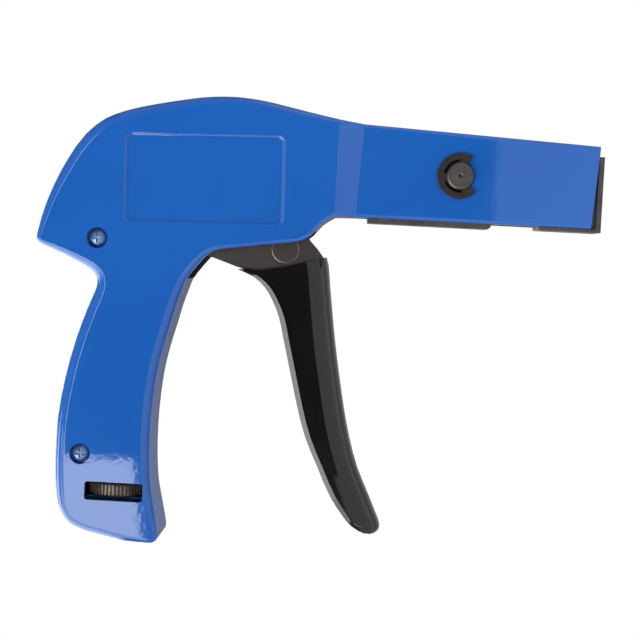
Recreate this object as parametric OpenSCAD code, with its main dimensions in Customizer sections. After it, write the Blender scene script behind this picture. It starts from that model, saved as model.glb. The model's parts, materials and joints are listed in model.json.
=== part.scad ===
// Cable tie tensioning tool with an adjustable automatic cut-off.
// +X is the pulling line towards the nose, +Z is up, and Y is the thickness.
// The origin is the centre of the tie slot, on the front face of the nose plate.

/* [Housing] */
// Length of the barrel, from the nose plate's face to the foot of the ramp
barrel_len = 70.6; // [69:0.5:74]
// Length of the ramp from the barrel's face up to the body's face
ramp_len = 7.2; // [6:0.2:8.6]
// Length of the body, from the ramp's edge to the tail
body_len = 87.4; // [85:0.5:92]
// Height of the body's back above the tie line
body_rise = 24; // [23.6:0.2:26]
// Drop of the grip's end below the tie line
grip_drop = 107.9; // [106:0.5:112]
// Height of the barrel's top edge above the tie line, at the nose
nose_rise = 15; // [14.8:0.1:16]
// Height of the barrel's top edge above the tie line, at the ramp's foot
foot_rise = 18.1; // [17.8:0.1:18.6]
// Drop of the barrel's underside below the tie line
barrel_drop = 9.2; // [8.7:0.1:9.6]
// Half the thickness of the body and grip
body_half = 11; // [10.8:0.1:12]
// Half the thickness of the barrel
barrel_half = 8; // [7.8:0.1:8.6]
// Wall of the body and grip
wall = 2.2; // [1.8:0.1:2.4]
// Wall of the barrel
barrel_wall = 2; // [1.8:0.1:2.2]
// Largest rounding of the housing's outer edges
edge_r = 3.5; // [2:0.1:3.8]
// Length of the label recess
label_len = 46.2; // [36:1:50]
// Height of the label recess
label_h = 25.5; // [20:0.5:27]
// Depth of the label recess
label_depth = 0.45; // [0.2:0.05:0.6]

/* [Nose and guide] */
// Thickness of the nose plate
nose_t = 1.5; // [1.2:0.1:1.8]
// Half the width of the nose plate
nose_half = 7.4; // [7:0.1:7.8]
// Width of the tie slot
slot_w = 5.6; // [5:0.1:6]
// Height of the tie slot
slot_h = 1.8; // [1.4:0.1:2]
// Thickness of the nose plate's bottom flange
flange_t = 1; // [1:0.1:1.4]
// Length of the nose plate's bottom flange
flange_len = 18.1; // [16:0.5:19]
// Length of the tail window between flange and guide rail
window_len = 13.8; // [12.5:0.5:15]
// Thickness of the guide rail's base
rail_t = 1.5; // [1.4:0.1:2]

/* [Barrel stud and screws] */
// Diameter of the barrel stud
stud_d = 8; // [7:0.5:8.5]
// Distance of the stud behind the nose plate's face
stud_back = 42; // [41.5:0.5:43]
// Height of the stud above the tie line
stud_rise = 4.3; // [4:0.1:4.6]
// Outer diameter of the E-clip
clip_d = 13.4; // [12:0.2:13.6]
// Thickness of the E-clip
clip_t = 0.85; // [0.7:0.05:1]
// Diameter of the housing screws
screw_d = 3; // [2.5:0.5:3.5]
// Diameter of the screws' heads
head_d = 5.2; // [4.8:0.2:5.6]
// Diameter of the counterbores
counterbore_d = 6.1; // [5.9:0.1:6.4]

/* [Trigger] */
// Distance from the trigger's pivot down to its tip
trigger_reach = 109.1; // [106:0.5:112]
// Half the width over the handle's side walls
handle_half = 7.8; // [7.6:0.1:8]
// Reach of the handle's outward flanges
handle_lip = 0.7; // [0.4:0.1:0.8]
// Sheet thickness of the handle
handle_t = 1.3; // [1:0.1:1.4]
// Thickness of the handle's flanges, as seen from the side
handle_flange_t = 1.6; // [1.2:0.1:1.8]
// Rounding of the handle's front
handle_front_r = 6.5; // [6:0.5:8]
// Sheet thickness of the trigger lever's plates
lever_t = 1.5; // [1.2:0.1:1.8]
// Diameter of the pivot pin and of the link pin
pin_d = 5; // [4:0.2:5]
// Diameter of the link pin's heads
pin_head_d = 8.2; // [7.4:0.2:8.6]

/* [Gripper and blade] */
// Thickness of the gripper carriage's side plates
cheek_t = 1.2; // [1:0.1:1.3]
// Thickness of the blade
blade_t = 1.3; // [1:0.1:1.4]
// Thickness of the pull link
link_t = 3; // [2:0.2:3.4]
// Diameter of the pawl pin
pawl_pin_d = 2.5; // [2:0.1:2.6]
// Number of teeth on the pawl
pawl_teeth = 4; // [3:1:5]

/* [Tension unit] */
// Radius of the tension wheel
wheel_r = 8.8; // [8.4:0.1:9]
// Thickness of the tension wheel
wheel_t = 3.9; // [3.6:0.1:4.2]
// Number of ribs on the wheel
wheel_ribs = 48; // [36:1:50]
// Diameter of the tension screw
tension_screw_d = 5; // [4:0.5:5]
// Outer radius of the tension spring
spring_r = 5; // [4:0.1:5.4]
// Wire diameter of the tension spring
spring_wire = 1.4; // [1:0.1:1.6]
// Turns of the tension spring
spring_turns = 15; // [9:1:15]
// Thickness of the load lever and the cut-off bar
rocker_t = 3; // [2.4:0.2:3.2]

/* [Hidden] */
$fn = 48;

// Clearances: a turning pin, a sliding face, a seat, and the overrun of a cut
run_gap = 0.05;
slide_gap = 0.2;
seat_gap = 0.1;
over = 1;

// Places along the tool
ramp_back = barrel_len + ramp_len;
tail_x = -(ramp_back + body_len);
function body_x(share) = -(ramp_back + share * body_len);

// Nose end of the castings, which leans back towards the underside
nose_gap_top = 1.4;
nose_gap_low = 2.9;

// Insides of the castings
body_inner = body_half - wall;
barrel_inner = barrel_half - barrel_wall;
barrel_floor = -barrel_drop + barrel_wall;

// Trigger pivot, load lever pivot and the axis of the tension unit
pivot_share = 0.254;
pivot_rise = 6;
rocker_share = 0.494;
rocker_rise = 2;
tension_share = 0.705;
pivot = [body_x(pivot_share), pivot_rise];
rocker = [body_x(rocker_share), rocker_rise];
tension_x = body_x(tension_share);
stud = [-stud_back, stud_rise];

// Casting outline, row by row from the ramp to the grip's end. Each row holds the upper and
// rear outline's place, the lower and front outline's place, and the two edges' rounding.
// x follows the body's length; z follows the body's rise above the tie line and the grip's
// drop below it; roundings follow edge_r.
outline_shares = [
    [0.000, 0.788, 0.002, -0.086, 0.45, 0.30],
    [0.035, 0.813, 0.044, -0.109, 0.55, 0.30],
    [0.071, 0.838, 0.076, -0.140, 0.60, 0.30],
    [0.117, 0.871, 0.098, -0.153, 0.62, 0.32],
    [0.185, 0.921, 0.126, -0.161, 0.64, 0.34],
    [0.252, 0.967, 0.220, -0.172, 0.66, 0.36],
    [0.323, 0.996, 0.300, -0.182, 0.68, 0.38],
    [0.387, 1.000, 0.368, -0.190, 0.72, 0.40],
    [0.460, 0.979, 0.404, -0.198, 0.76, 0.44],
    [0.521, 0.942, 0.418, -0.206, 0.80, 0.48],
    [0.586, 0.896, 0.428, -0.213, 0.86, 0.52],
    [0.654, 0.842, 0.438, -0.222, 0.92, 0.56],
    [0.723, 0.771, 0.447, -0.231, 0.96, 0.60],
    [0.788, 0.671, 0.455, -0.239, 1.00, 0.64],
    [0.852, 0.475, 0.462, -0.247, 1.00, 0.66],
    [0.915, 0.121, 0.469, -0.255, 0.95, 0.68],
    [0.952, -0.037, 0.475, -0.261, 0.85, 0.70],
    [0.978, -0.097, 0.479, -0.267, 0.70, 0.72],
    [0.997, -0.164, 0.484, -0.273, 0.50, 0.72],
    [1.000, -0.184, 0.486, -0.275, 0.42, 0.72],
    [0.994, -0.197, 0.489, -0.278, 0.40, 0.72],
    [0.977, -0.205, 0.492, -0.284, 0.42, 0.72],
    [0.946, -0.215, 0.495, -0.290, 0.50, 0.72],
    [0.898, -0.232, 0.500, -0.304, 0.60, 0.76],
    [0.835, -0.257, 0.508, -0.323, 0.74, 0.78],
    [0.803, -0.276, 0.521, -0.358, 0.86, 0.80],
    [0.792, -0.299, 0.534, -0.401, 0.92, 0.80],
    [0.799, -0.323, 0.550, -0.449, 0.96, 0.80],
    [0.822, -0.371, 0.564, -0.497, 1.00, 0.80],
    [0.855, -0.454, 0.576, -0.556, 1.00, 0.80],
    [0.887, -0.565, 0.586, -0.654, 1.00, 0.80],
    [0.906, -0.675, 0.587, -0.742, 1.00, 0.80],
    [0.909, -0.784, 0.583, -0.807, 1.00, 0.80],
    [0.905, -0.857, 0.576, -0.858, 1.00, 0.78],
    [0.894, -0.916, 0.564, -0.905, 0.95, 0.68],
    [0.877, -0.946, 0.555, -0.941, 0.90, 0.50],
    [0.850, -0.969, 0.546, -0.979, 0.85, 0.36],
    [0.802, -0.986, 0.548, -0.996, 0.80, 0.36],
    [0.750, -0.994, 0.564, -1.006, 0.76, 0.42],
    [0.695, -1.002, 0.608, -1.008, 0.72, 0.56],
    [0.655, -1.007, 0.645, -1.007, 0.66, 0.63]];
outline_steps = 2;
arc_steps = 4;

function body_z(share) = share > 0 ? share * body_rise : share * grip_drop;
function outline_row(s, half) =
    [body_x(s[0]), body_z(s[1]), body_x(s[2]), body_z(s[3]), s[4] * edge_r, s[5] * edge_r, half];

// A smooth curve through the rows, in steps to each span. Each span is a cubic whose slopes
// come from the spans on both sides, weighted by their lengths.
function span(rows, i) = norm([for (k = [0:3]) rows[i + 1][k] - rows[i][k]]);
function slope(rows, i) =
    i == 0 ? (rows[1] - rows[0]) / span(rows, 0) :
    i == len(rows) - 1 ? (rows[i] - rows[i - 1]) / span(rows, i - 1) :
    let (a = span(rows, i - 1), b = span(rows, i))
    ((rows[i] - rows[i - 1]) * b / a + (rows[i + 1] - rows[i]) * a / b) / (a + b);
function on_span(rows, i, t) =
    let (h = span(rows, i), t2 = t * t, t3 = t2 * t)
    rows[i] * (2 * t3 - 3 * t2 + 1) + slope(rows, i) * h * (t3 - 2 * t2 + t)
    + rows[i + 1] * (3 * t2 - 2 * t3) + slope(rows, i + 1) * h * (t3 - t2);
function curve(rows, steps) = concat(
    [for (i = [0:len(rows) - 2]) for (j = [0:steps - 1]) on_span(rows, i, j / steps)],
    [rows[len(rows) - 1]]);
// Points of the same curve that lie halfway between those
function between(rows, steps) =
    [for (i = [0:len(rows) - 2]) for (j = [0:steps - 1]) on_span(rows, i, (j + 0.5) / steps)];

// Stations of the castings: the barrel's nose and ramp foot, then the body and the grip
barrel_edge_share = 0.3;
ramp_lean = 1.2;
nose_station = [-nose_gap_top, nose_rise, -nose_gap_low, -barrel_drop,
    barrel_edge_share * edge_r, barrel_edge_share * edge_r, barrel_half];
foot_station = [-barrel_len, foot_rise, -barrel_len - ramp_lean, -barrel_drop,
    barrel_edge_share * edge_r, barrel_edge_share * edge_r, barrel_half];
body_rows = [for (s = outline_shares) outline_row(s, body_half)];
stations = concat([nose_station, foot_station], curve(body_rows, outline_steps));

function upper(s) = [s[0], s[1]];
function lower(s) = [s[2], s[3]];
upper_line = [for (s = stations) upper(s)];
lower_line = [for (s = stations) lower(s)];
// Round ends are a little wider than the bars that run into them
round_share = 0.55;
function across(v) = [-v[1], v[0]] / norm(v);
function normal(line, i, side) =
    side * across(line[min(i + 1, len(line) - 1)] - line[max(i - 1, 0)]);

// One rounded edge: points from the parting face out to the flat face
function edge(line, i, r, half, side) = concat([[line[i][0], 0, line[i][1]]],
    [for (k = [0:arc_steps]) let (a = 90 * k / arc_steps, q = line[i] + normal(line, i, side) * r * (1 - cos(a)))
        [q[0], -(half - r + r * sin(a)), q[1]]]);
function backwards(list) = [for (i = [len(list) - 1:-1:0]) list[i]];
shell_rings = [for (i = [0:len(stations) - 1]) let (s = stations[i])
    concat(edge(upper_line, i, s[4], s[6], 1), backwards(edge(lower_line, i, s[5], s[6], -1)))];

// A closed skin through rings of equally many points. Each end is a strip that joins the ring's two sides.
module skin(rings) {
    n = len(rings[0]);
    m = len(rings);
    points = [for (r = rings) for (p = r) p];
    sides = [for (i = [0:m - 2]) for (j = [0:n - 1])
        let (a = i * n + j, b = i * n + (j + 1) % n) each [[a, b, a + n], [b, b + n, a + n]]];
    e = (m - 1) * n;
    ends = [for (k = [0:n / 2 - 2]) each [[k, n - 2 - k, k + 1], [k, n - 1 - k, n - 2 - k],
        [e + k, e + k + 1, e + n - 2 - k], [e + k, e + n - 2 - k, e + n - 1 - k]]];
    polyhedron(points, concat(sides, ends));
}

// A flat shape drawn in X and Z, raised along Y from y0 to y1
module along_y(y0, y1) {
    translate([0, y1, 0]) rotate([90, 0, 0]) linear_extrude(y1 - y0) children();
}
module disc_y(at, r, y0, y1) {
    along_y(y0, y1) translate(at) circle(r);
}
// A straight bar with square ends from p to q, flat in X and Z
module bar(p, q, w) {
    d = q - p;
    translate(p) rotate(atan2(d[1], d[0])) translate([0, -w / 2]) square([norm(d), w]);
}

// Outline that the hollow follows. Its corners lie between the stations' lines.
hollow_line = concat([foot_station], between(body_rows, outline_steps));
module hollow_outline() {
    offset(delta = -wall) polygon(concat([for (s = hollow_line) upper(s)], backwards([for (s = hollow_line) lower(s)])));
}

// Trigger opening: its front edge, and the height inside the body up to which it is cut
opening_front_share = 0.066;
opening_rear_shares = [0.487, -0.276];
opening_inner_shares = [0.540, -0.235];
opening_low_shares = [0.400, -0.420];
module trigger_opening() {
    front = body_x(opening_front_share);
    rear = [body_x(opening_rear_shares[0]), body_z(opening_rear_shares[1])];
    inner = [body_x(opening_inner_shares[0]), body_z(opening_inner_shares[1])];
    low = [body_x(opening_low_shares[0]), body_z(opening_low_shares[1])];
    polygon([[front, barrel_floor], [front, low[1]], low, rear, inner, [inner[0], barrel_floor]]);
}

// Guide rail: a hat section whose walls stand inside the barrel's bottom opening
rail_front = flange_len + window_len;
rail_back_gap = 2.2;
rail_back = barrel_len - rail_back_gap;
rail_lip_t = 1;
rail_wall_t = 1.1;
rail_opening_half = barrel_inner - 0.8 * rail_lip_t;
rail_half = rail_opening_half - seat_gap;
rail_inner = rail_half - rail_wall_t;
rail_rib_h = 1;
rail_rib_inset = 2.4;

// Carriage side plates run between the rail's walls
cheek_outer = rail_inner - slide_gap;
cheek_inner = cheek_outer - cheek_t;

// Bosses
pivot_bore_r = pin_d / 2 + run_gap;
pivot_bore_end_wall = 1.4;
pivot_boss_r = 4.6;
lever_outer = handle_half - handle_t - run_gap;
lever_inner = lever_outer - lever_t;
rocker_pin_d = 4;
rocker_boss_r = 4;
stud_boss_r = 6;
blade_lever_half = 2;
screw_boss_r = 3.5;
screw_places_shares = [[0.794, -0.178], [0.820, -0.770]];
screw_places = [for (s = screw_places_shares) [body_x(s[0]), body_z(s[1])]];
head_sink = 0.4;
counterbore_depth = 2.4;
screw_end = 6.5;
screw_bore_gap = 0.15;

// Tension unit heights, from the wheel up
wheel_share = 0.8693;
wheel_z = -wheel_share * grip_drop;
wheel_top = wheel_z + wheel_t / 2;
wheel_low = wheel_z - wheel_t / 2;
bearing_t = 2.2;
wheel_slot_len = 17.2;
wheel_slot_h = 5.5;
wheel_slot_depth = 5.6;
wheel_slot_share = 0.700;
wheel_slot_r = 0.8;
wheel_pocket_gap = 0.4;
nut_size = 9;
screw_over_nut = 0.7;
nut_t = 5;
nut_travel = 4;
nut_low = wheel_top + bearing_t + nut_travel + 2 * slide_gap;
nut_top = nut_low + nut_t;
yoke_t = 1.5;
yoke_len = 10.5;
small_pin_d = 3;
nut_pin_z = nut_top + yoke_len - small_pin_d / 2 - yoke_t / 2;
link_strip_t = 1.2;
link_strip_w = 4.6;
strip_inner = rocker_t / 2 + slide_gap;
strip_outer = strip_inner + link_strip_t;
upper_pin_drop = 6;
upper_pin_z = -upper_pin_drop;
strip_len = 28;
lower_pin_z = upper_pin_z - strip_len;
nut_guide_w = 6;

// Blade spring and trigger spring places
tail_back = 10;
peg_d = 2;
peg_drop = 1;
peg = [stud[0] - tail_back, -peg_drop];
tail_pin_rise = 8;
tail_pin = [stud[0] - tail_back, tail_pin_rise];
tail_pin_d = 1.6;
ear_back = 11;
ear_drop = 3;
trigger_spring_r = 2.2;
trigger_spring_wire = 0.6;
trigger_spring_turns = 6;
tab_t = 2;
tab = [pivot[0] - ear_back, pivot[1] - ear_drop];
trigger_spring_y = -(rocker_t / 2 + seat_gap + trigger_spring_r);
spring_seat_drop = 6;
spring_seat_z = body_rise - spring_seat_drop;

// Cut-off bar: a straight run from the load lever to the blade lever
bar_h = 2.5;
finger_back = 3.2;
bar_front_rise = 12.9;
bar_rear_rise = 16.4;
bar_rear_share = 0.457;
bar_gap = 0.25;
bar_front = [stud[0] - finger_back - bar_gap, bar_front_rise];
bar_rear = [body_x(bar_rear_share), bar_rear_rise];
bar_guides_shares = [0.2, 0.62];
bar_guide_t = 3;
function on_bar(share) = bar_front + (bar_rear - bar_front) * share;

ear_pin_d = 3;
ear_pin_back = 10;
ear_pin_rise = 8;
ear_len = 16;

// What is left standing inside each half: bosses and ribs
module inner_features() {
    disc_y(pivot, pivot_boss_r, -body_inner - over, -lever_outer - slide_gap);
    disc_y(rocker, rocker_boss_r, -body_inner - over, -rocker_t / 2 - slide_gap);
    disc_y(stud, stud_boss_r, -barrel_inner - over, -blade_lever_half - slide_gap);
    for (p = screw_places) disc_y(p, screw_boss_r, -body_inner - over, over);
    disc_y(peg, peg_d / 2, -barrel_inner - over, over);
    disc_y([-ear_pin_back, ear_pin_rise], ear_pin_d / 2, -barrel_inner - over, -barrel_inner + 1.5 * flange_t);
    // bearing ribs above and below the tension wheel
    along_y(-body_inner - over, over) {
        translate([tail_x, wheel_top + slide_gap]) square([body_len, bearing_t]);
        translate([tail_x, wheel_low - slide_gap - bearing_t]) square([body_len, bearing_t]);
    }
    // pads that keep the nut from turning
    translate([tension_x - nut_guide_w / 2, -body_inner - over, wheel_top])
        cube([nut_guide_w, body_inner + over - nut_size / 2 - slide_gap, nut_pin_z - wheel_top]);
    // guides of the cut-off bar, each with a slot
    difference() {
        for (s = bar_guides_shares) translate([on_bar(s)[0], -body_inner - over, on_bar(s)[1] - bar_h])
            cube([bar_guide_t, body_inner + 2 * over, body_rise]);
        along_y(-rocker_t / 2 - slide_gap, 2 * over)
            bar(bar_front, bar_rear, bar_h + 2 * slide_gap);
    }
    // ribs that hold the guide rail's flanges down
    translate([-rail_back + rail_rib_inset, -barrel_inner - over, barrel_floor + run_gap + rail_lip_t + seat_gap])
        cube([rail_back - rail_front - 2 * rail_rib_inset, over + 0.8 * rail_lip_t, rail_rib_h]);
}

// Hollow of one half, on the side of negative Y
module hollow() {
    cavity_front = ramp_back + wall;
    difference() {
        union() {
            along_y(-body_inner, 2 * over) {
                intersection() {
                    hollow_outline();
                    translate([tail_x, -grip_drop]) square([-tail_x - cavity_front, grip_drop + body_rise]);
                }
                trigger_opening();
            }
            along_y(-barrel_inner, 2 * over) polygon([
                [over, nose_rise - barrel_wall], [over, barrel_floor],
                [-cavity_front - over, barrel_floor], [-cavity_front - over, foot_rise - barrel_wall],
                [-barrel_len, foot_rise - barrel_wall]]);
        }
        inner_features();
    }
    // opening in the barrel's underside for the guide rail, and the wider one at the nose
    translate([-rail_back - seat_gap, -rail_opening_half, -barrel_drop - over])
        cube([rail_back + over, rail_opening_half + 2 * over, barrel_wall + 2 * over]);
    translate([-rail_front + seat_gap, -barrel_inner, -barrel_drop - over])
        cube([rail_front + over, barrel_inner + 2 * over, barrel_wall + 2 * over]);
}

// Label recess, its centre and its tilt
label_place_shares = [0.443, -0.004];
label_tilt = 1.6;
label_corner_r = 2;
module label_outline() {
    translate([body_x(label_place_shares[0]), body_z(label_place_shares[1])]) rotate(label_tilt)
        offset(r = label_corner_r) square([label_len - 2 * label_corner_r, label_h - 2 * label_corner_r], center = true);
}

// Cuts that both halves share
module shared_cuts() {
    along_y(-body_half - over, -body_half + label_depth) label_outline();
    along_y(-body_half - over, -body_half + wheel_slot_depth) {
        translate([body_x(wheel_slot_share), wheel_z]) offset(r = wheel_slot_r)
            square([wheel_slot_len - 2 * wheel_slot_r, wheel_slot_h - 2 * wheel_slot_r], center = true);
    }
    translate([tension_x, 0, wheel_low - slide_gap]) cylinder(r = wheel_r + wheel_pocket_gap, h = wheel_t + 2 * slide_gap);
    translate([tension_x, 0, wheel_low - slide_gap - bearing_t - over])
        cylinder(r = tension_screw_d / 2 + run_gap, h = wheel_t + 2 * (slide_gap + bearing_t + over));
    disc_y(pivot, pivot_bore_r, -body_half + pivot_bore_end_wall, over);
    disc_y(rocker, rocker_pin_d / 2 + run_gap, -body_half + pivot_bore_end_wall, over);
    disc_y(stud, stud_d / 2 + run_gap, -barrel_half - over, over);
}

module casting() {
    difference() {
        skin(shell_rings);
        hollow();
        shared_cuts();
    }
}

module right_housing() {
    color([0.06, 0.24, 0.62]) {
        difference() {
            casting();
            for (p = screw_places) {
                disc_y(p, counterbore_d / 2, -body_half - over, -body_half + counterbore_depth);
                disc_y(p, screw_d / 2 + screw_bore_gap, -body_half - over, over);
            }
        }
        // seat of the trigger spring, hanging from the roof
        translate([tab[0], trigger_spring_y, spring_seat_z]) cylinder(r = trigger_spring_r, h = spring_seat_drop - wall);
    }
}

module left_housing() {
    color([0.06, 0.24, 0.62]) mirror([0, 1, 0]) difference() {
        casting();
        for (p = screw_places) disc_y(p, screw_d / 2 + run_gap, -screw_end - over, over);
    }
}

// Pan head screw along Y, its tip towards positive Y
head_h = 1.8;
head_edge_share = 0.45;
recess_len_share = 0.56;
recess_w_share = 0.13;
recess_depth_share = 0.6;
module pan_screw() {
    top = -body_half + head_sink;
    seat = -body_half + counterbore_depth - run_gap;
    rim = seat - head_edge_share * head_h;
    dome_r = (pow(head_d / 2, 2) + pow(rim - top, 2)) / (2 * (rim - top));
    arc = [for (k = [0:6]) let (x = head_d / 2 * (1 - k / 6))
        [x, top + dome_r - sqrt(dome_r * dome_r - x * x)]];
    difference() {
        rotate([-90, 0, 0]) rotate_extrude() polygon(concat(arc, [[0, screw_end], [screw_d / 2, screw_end],
            [screw_d / 2, seat], [head_d / 2, seat]]));
        for (a = [45, 135]) rotate([0, a, 0])
            translate([-recess_len_share * head_d / 2, top - over, -recess_w_share * head_d / 2])
            cube([recess_len_share * head_d, over + recess_depth_share * head_h, recess_w_share * head_d]);
    }
}
module housing_screws() {
    color([0.55, 0.58, 0.64]) for (p = screw_places) translate([p[0], 0, p[1]]) pan_screw();
}

// Nose plate: front plate with the tie slot, bottom flange, and two ears inside the barrel
blade_gap = 0.1;
blade_front = nose_t + blade_gap;
blade_back = blade_front + blade_t;
nose_plate_rise = 12;
ear_outer = barrel_inner - seat_gap;
ear_inner = ear_outer - flange_t;
blade_half = ear_inner - 4 * seat_gap;
guide_w = 1.2;
guide_inner = 3.5;
ear_rise = 10;
module nose_plate() {
    low = -barrel_drop - flange_t;
    color([0.16, 0.15, 0.15]) difference() {
        union() {
            translate([-nose_t, -nose_half, low]) cube([nose_t, 2 * nose_half, nose_plate_rise - low]);
            translate([-flange_len, -nose_half, low]) cube([flange_len, 2 * nose_half, flange_t]);
            for (s = [-1, 1]) {
                translate([-ear_len, s * (ear_outer + ear_inner) / 2 - flange_t / 2, low])
                    cube([ear_len, flange_t, ear_rise - low]);
                translate([-blade_back - blade_gap - guide_w, s > 0 ? guide_inner : -ear_outer, low])
                    cube([guide_w, ear_outer - guide_inner, ear_rise - low]);
            }
        }
        translate([-nose_t - over, -slot_w / 2, -slot_h / 2]) cube([nose_t + 2 * over, slot_w, slot_h]);
        disc_y([-ear_pin_back, ear_pin_rise], ear_pin_d / 2 + run_gap, -barrel_half, barrel_half);
    }
}

module guide_rail() {
    base_low = -barrel_drop - rail_t;
    lip_low = barrel_floor + run_gap;
    lip_outer = barrel_inner - seat_gap;
    bevel = rail_t / 2;
    color([0.16, 0.15, 0.15]) difference() {
        union() {
            translate([-rail_back, -rail_half, base_low]) cube([rail_back - rail_front, 2 * rail_half, rail_t]);
            for (s = [-1, 1]) {
                translate([-rail_back, s * (rail_half + rail_inner) / 2 - rail_wall_t / 2, -barrel_drop])
                    cube([rail_back - rail_front, rail_wall_t, lip_low + rail_lip_t + barrel_drop]);
                translate([-rail_back, s * (lip_outer + rail_inner) / 2 - (lip_outer - rail_inner) / 2, lip_low])
                    cube([rail_back - rail_front, lip_outer - rail_inner, rail_lip_t]);
            }
        }
        along_y(-barrel_half, barrel_half) polygon([
            [-rail_front - bevel, base_low - over], [-rail_front + over, base_low - over],
            [-rail_front + over, base_low + bevel + over], [-rail_front, base_low + bevel],
            [-rail_front - bevel, base_low]]);
    }
}

// Barrel stud: head on the left side, groove and dimpled end on the right side
stud_head_d = 11;
stud_head_t = 1.6;
stud_end = 1.2;
groove_d = 6.4;
stud_bevel = 0.4;
dimple_r = 0.7;
module barrel_stud() {
    clip_front = -barrel_half - seat_gap / 2;
    clip_back = clip_front - clip_t - seat_gap;
    tip = clip_back - stud_end;
    color([0.25, 0.24, 0.25]) translate([stud[0], 0, stud[1]]) rotate([-90, 0, 0]) rotate_extrude() polygon([
        [0, tip + dimple_r], [dimple_r, tip], [stud_d / 2 - stud_bevel, tip], [stud_d / 2, tip + stud_bevel],
        [stud_d / 2, clip_back], [groove_d / 2, clip_back], [groove_d / 2, clip_front], [stud_d / 2, clip_front],
        [stud_d / 2, barrel_half + run_gap], [stud_head_d / 2, barrel_half + run_gap],
        [stud_head_d / 2, barrel_half + stud_head_t - stud_bevel],
        [stud_head_d / 2 - stud_bevel, barrel_half + stud_head_t], [0, barrel_half + stud_head_t]]);
}

clip_inner_share = 0.36;
clip_mouth = 50;
clip_turn = 7;
clip_lug_w = 2.6;
module e_clip() {
    r = clip_d / 2;
    y1 = -barrel_half - seat_gap;
    color([0.14, 0.13, 0.13]) translate([stud[0], 0, stud[1]]) along_y(y1 - clip_t, y1) rotate(clip_turn) {
        difference() {
            circle(r);
            circle(clip_inner_share * clip_d);
            polygon([[0, 0], [2 * r * cos(clip_mouth), 2 * r * sin(clip_mouth)],
                [2 * r, 0], [2 * r * cos(clip_mouth), -2 * r * sin(clip_mouth)]]);
        }
        difference() {
            for (a = [180, 69, -69]) rotate(a)
                translate([0, -clip_lug_w / 2]) square([r * (1 - run_gap), clip_lug_w]);
            circle(groove_d / 2 + run_gap);
        }
    }
}

// Trigger handle, row by row from its top to its tip: rear edge, front edge, width and lip.
// Places follow the trigger's reach, measured from the pivot.
handle_shares = [
    [-0.054, -0.296, 0.184, -0.250, 1.00, 0.00],
    [-0.029, -0.305, 0.191, -0.273, 1.00, 0.45],
    [-0.004, -0.317, 0.195, -0.300, 1.00, 0.80],
    [0.025, -0.343, 0.199, -0.335, 1.00, 1.00],
    [0.044, -0.372, 0.204, -0.370, 1.00, 1.00],
    [0.066, -0.421, 0.211, -0.421, 1.00, 1.00],
    [0.080, -0.475, 0.219, -0.475, 1.00, 1.00],
    [0.107, -0.581, 0.238, -0.582, 1.00, 1.00],
    [0.128, -0.662, 0.254, -0.664, 1.00, 1.00],
    [0.153, -0.741, 0.273, -0.743, 1.00, 1.00],
    [0.190, -0.820, 0.299, -0.824, 1.00, 1.00],
    [0.229, -0.899, 0.331, -0.893, 1.00, 1.00],
    [0.267, -0.952, 0.355, -0.945, 0.99, 0.90],
    [0.288, -0.975, 0.368, -0.977, 0.95, 0.60],
    [0.303, -0.986, 0.368, -0.991, 0.89, 0.30],
    [0.314, -0.993, 0.361, -1.000, 0.80, 0.10],
    [0.325, -0.999, 0.348, -1.004, 0.66, 0.00]];
// The top edge sags between its ends, where the lever's plates go in
lever_foot_shares = [[0.110, -0.2725], [0.176, -0.254]];
handle_sag_shares = concat([[-0.100, -0.2885], [0.005, -0.2965], [0.076, -0.282]], lever_foot_shares,
    [[0.220, -0.2417]]);
handle_sag_rise_share = 0.06;
handle_steps = 2;
handle_arc_steps = 4;
handle_front_limit_share = 0.7;
handle_lip_rear_share = 0.6;
handle_sheet_limit_share = 0.4;
handle_rows = curve([for (s = handle_shares) [for (k = [0:5]) k < 4 ? s[k] * trigger_reach : s[k]]], handle_steps);

// One side of the handle's section: depth from the rear edge, and distance from the middle
function handle_side(depth, half, lip) =
    let (front = min(handle_front_r, handle_front_limit_share * depth), edge = min(handle_flange_t, (depth - front) / 2))
    concat([[0, half + lip * handle_lip_rear_share], [edge, half + lip], [edge, half]],
        [for (k = [0:handle_arc_steps - 1]) let (a = 90 * k / handle_arc_steps)
            [depth - front + front * sin(a), half * cos(a)]]);
function handle_inside(depth, half) =
    let (front = min(handle_front_r, handle_front_limit_share * depth), edge = min(handle_flange_t, (depth - front) / 2),
        sheet = min(handle_t, handle_sheet_limit_share * depth), k1 = 1 - sheet / depth, k2 = 1 - handle_t / half)
    concat([[0, half * k2], [edge / 2, half * k2], [edge, half * k2]],
        [for (k = [0:handle_arc_steps - 1]) let (a = 90 * k / handle_arc_steps)
            [(depth - front + front * sin(a)) * k1, half * k2 * cos(a)]]);
function flip(list) = [for (p = list) [p[0], -p[1]]];
function handle_ring(row) =
    let (rear = [row[0], row[1]], front = [row[2], row[3]], depth = norm(front - rear),
        dir = (front - rear) / depth, half = handle_half * row[4], lip = max(handle_lip * row[5], slide_gap),
        sheet = min(handle_t, handle_sheet_limit_share * depth),
        outside = concat(flip(handle_side(depth, half, lip)), [[depth, 0]], backwards(handle_side(depth, half, lip))),
        inside = concat(flip(handle_inside(depth, half)), [[depth - sheet, 0]], backwards(handle_inside(depth, half))))
    [for (p = concat(outside, inside)) let (q = pivot + rear + dir * p[0]) [q[0], p[1], q[1]]];
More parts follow.
